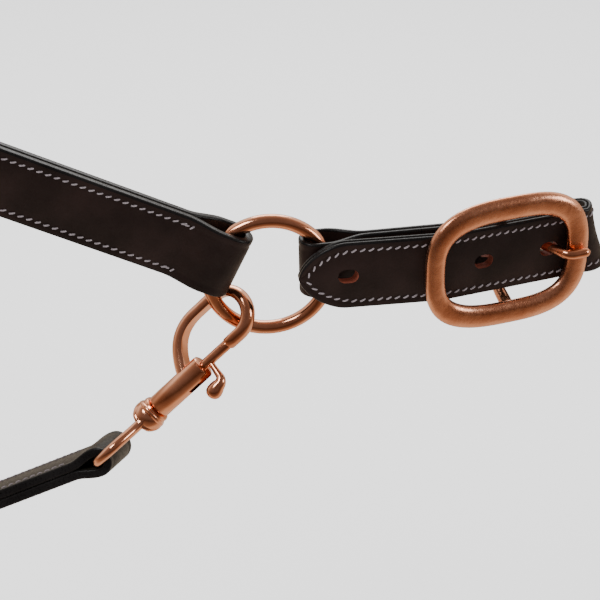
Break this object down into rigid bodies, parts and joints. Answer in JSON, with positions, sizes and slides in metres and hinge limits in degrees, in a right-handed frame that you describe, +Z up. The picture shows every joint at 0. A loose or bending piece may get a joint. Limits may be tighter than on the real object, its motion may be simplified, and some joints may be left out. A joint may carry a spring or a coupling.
{
  "type": "martingale chest junction",
  "caption": "Leather martingale chest junction: an O-ring joins a neck strap, a buckled strap and a strap with a swivel bolt snap.",
  "frame": {"origin": "centre of the O-ring", "axes": "the ring lies in the XZ plane, the show side faces -Y, +X runs towards the buckle and +Z is up"},
  "size_m": [0.2844, 0.0741, 0.1964],
  "materials": {
    "neck_strap_outer": "satin",
    "neck_strap_lining": "satin",
    "neck_strap_stitching": "matte",
    "o_ring": "polished",
    "chape": "satin",
    "chape_stitching": "matte",
    "buckle_frame": "polished",
    "billet_outer": "satin",
    "billet_lining": "satin",
    "billet_stitching": "matte",
    "buckle_tongue": "polished",
    "snap_body": "polished",
    "snap_spring": "satin",
    "swivel_rivet": "polished",
    "snap_bolt": "polished",
    "thumb_stud": "polished",
    "swivel_eye": "polished",
    "snap_strap_outer": "satin",
    "snap_strap_lining": "satin",
    "snap_strap_stitching": "matte"
  },
  "bodies": {
    "neck": {"neck_strap_outer": "neck_strap_outer", "neck_strap_lining": "neck_strap_lining", "neck_strap_stitching": "neck_strap_stitching"},
    "ring": {"o_ring": "o_ring"},
    "chape": {"chape": "chape", "chape_stitching": "chape_stitching"},
    "buckle": {"buckle_frame": "buckle_frame", "billet_outer": "billet_outer", "billet_lining": "billet_lining", "billet_stitching": "billet_stitching"},
    "tongue": {"buckle_tongue": "buckle_tongue"},
    "snap": {"snap_body": "snap_body", "snap_spring": "snap_spring", "swivel_rivet": "swivel_rivet"},
    "bolt": {"snap_bolt": "snap_bolt", "thumb_stud": "thumb_stud"},
    "swivel": {"swivel_eye": "swivel_eye"},
    "snap_strap": {"snap_strap_outer": "snap_strap_outer", "snap_strap_lining": "snap_strap_lining", "snap_strap_stitching": "snap_strap_stitching"}
  },
  "joints": [
    {"name": "ring_swing", "type": "hinge", "parent": "neck", "child": "ring", "pos_m": [-0.01684, 0, 0.00791], "axis": [0.425, 0, 0.9052], "range_deg": [-33, 33]},
    {"name": "chape_swing", "type": "hinge", "parent": "ring", "child": "chape", "pos_m": [0.01728, 0.00072, 0.00326], "axis": [-0.0209, -0.0009, 0.9998], "range_deg": [-28, 10]},
    {"name": "buckle_pivot", "type": "hinge", "parent": "chape", "child": "buckle", "pos_m": [0.08361, 0.0035, 0.00465], "axis": [-0.0209, -0.0009, 0.9998], "range_deg": [0, 12]},
    {"name": "tongue_lift", "type": "hinge", "parent": "buckle", "child": "tongue", "pos_m": [0.08361, 0.0035, 0.00465], "axis": [0.0209, 0.0009, -0.9998], "range_deg": [0, 3]},
    {"name": "snap_swing", "type": "hinge", "parent": "ring", "child": "snap", "pos_m": [-0.01494, 0, -0.01547], "axis": [-0.7193, 0, 0.6947], "range_deg": [-10, 30]},
    {"name": "bolt_slide", "type": "slide", "parent": "snap", "child": "bolt", "axis": [-0.7157, 0, -0.6984], "range_m": [0, 0.009], "deforming": ["snap_spring"]},
    {"name": "swivel_spin", "type": "hinge", "parent": "snap", "child": "swivel", "pos_m": [-0.04579, -0.00603, -0.05344], "axis": [0.7157, 0, 0.6984], "continuous": true},
    {"name": "snap_strap_hinge", "type": "hinge", "parent": "swivel", "child": "snap_strap", "pos_m": [-0.06096, -0.00603, -0.06824], "axis": [-0.3094, -0.8965, 0.3171], "range_deg": [-20, 45]}
  ]
}
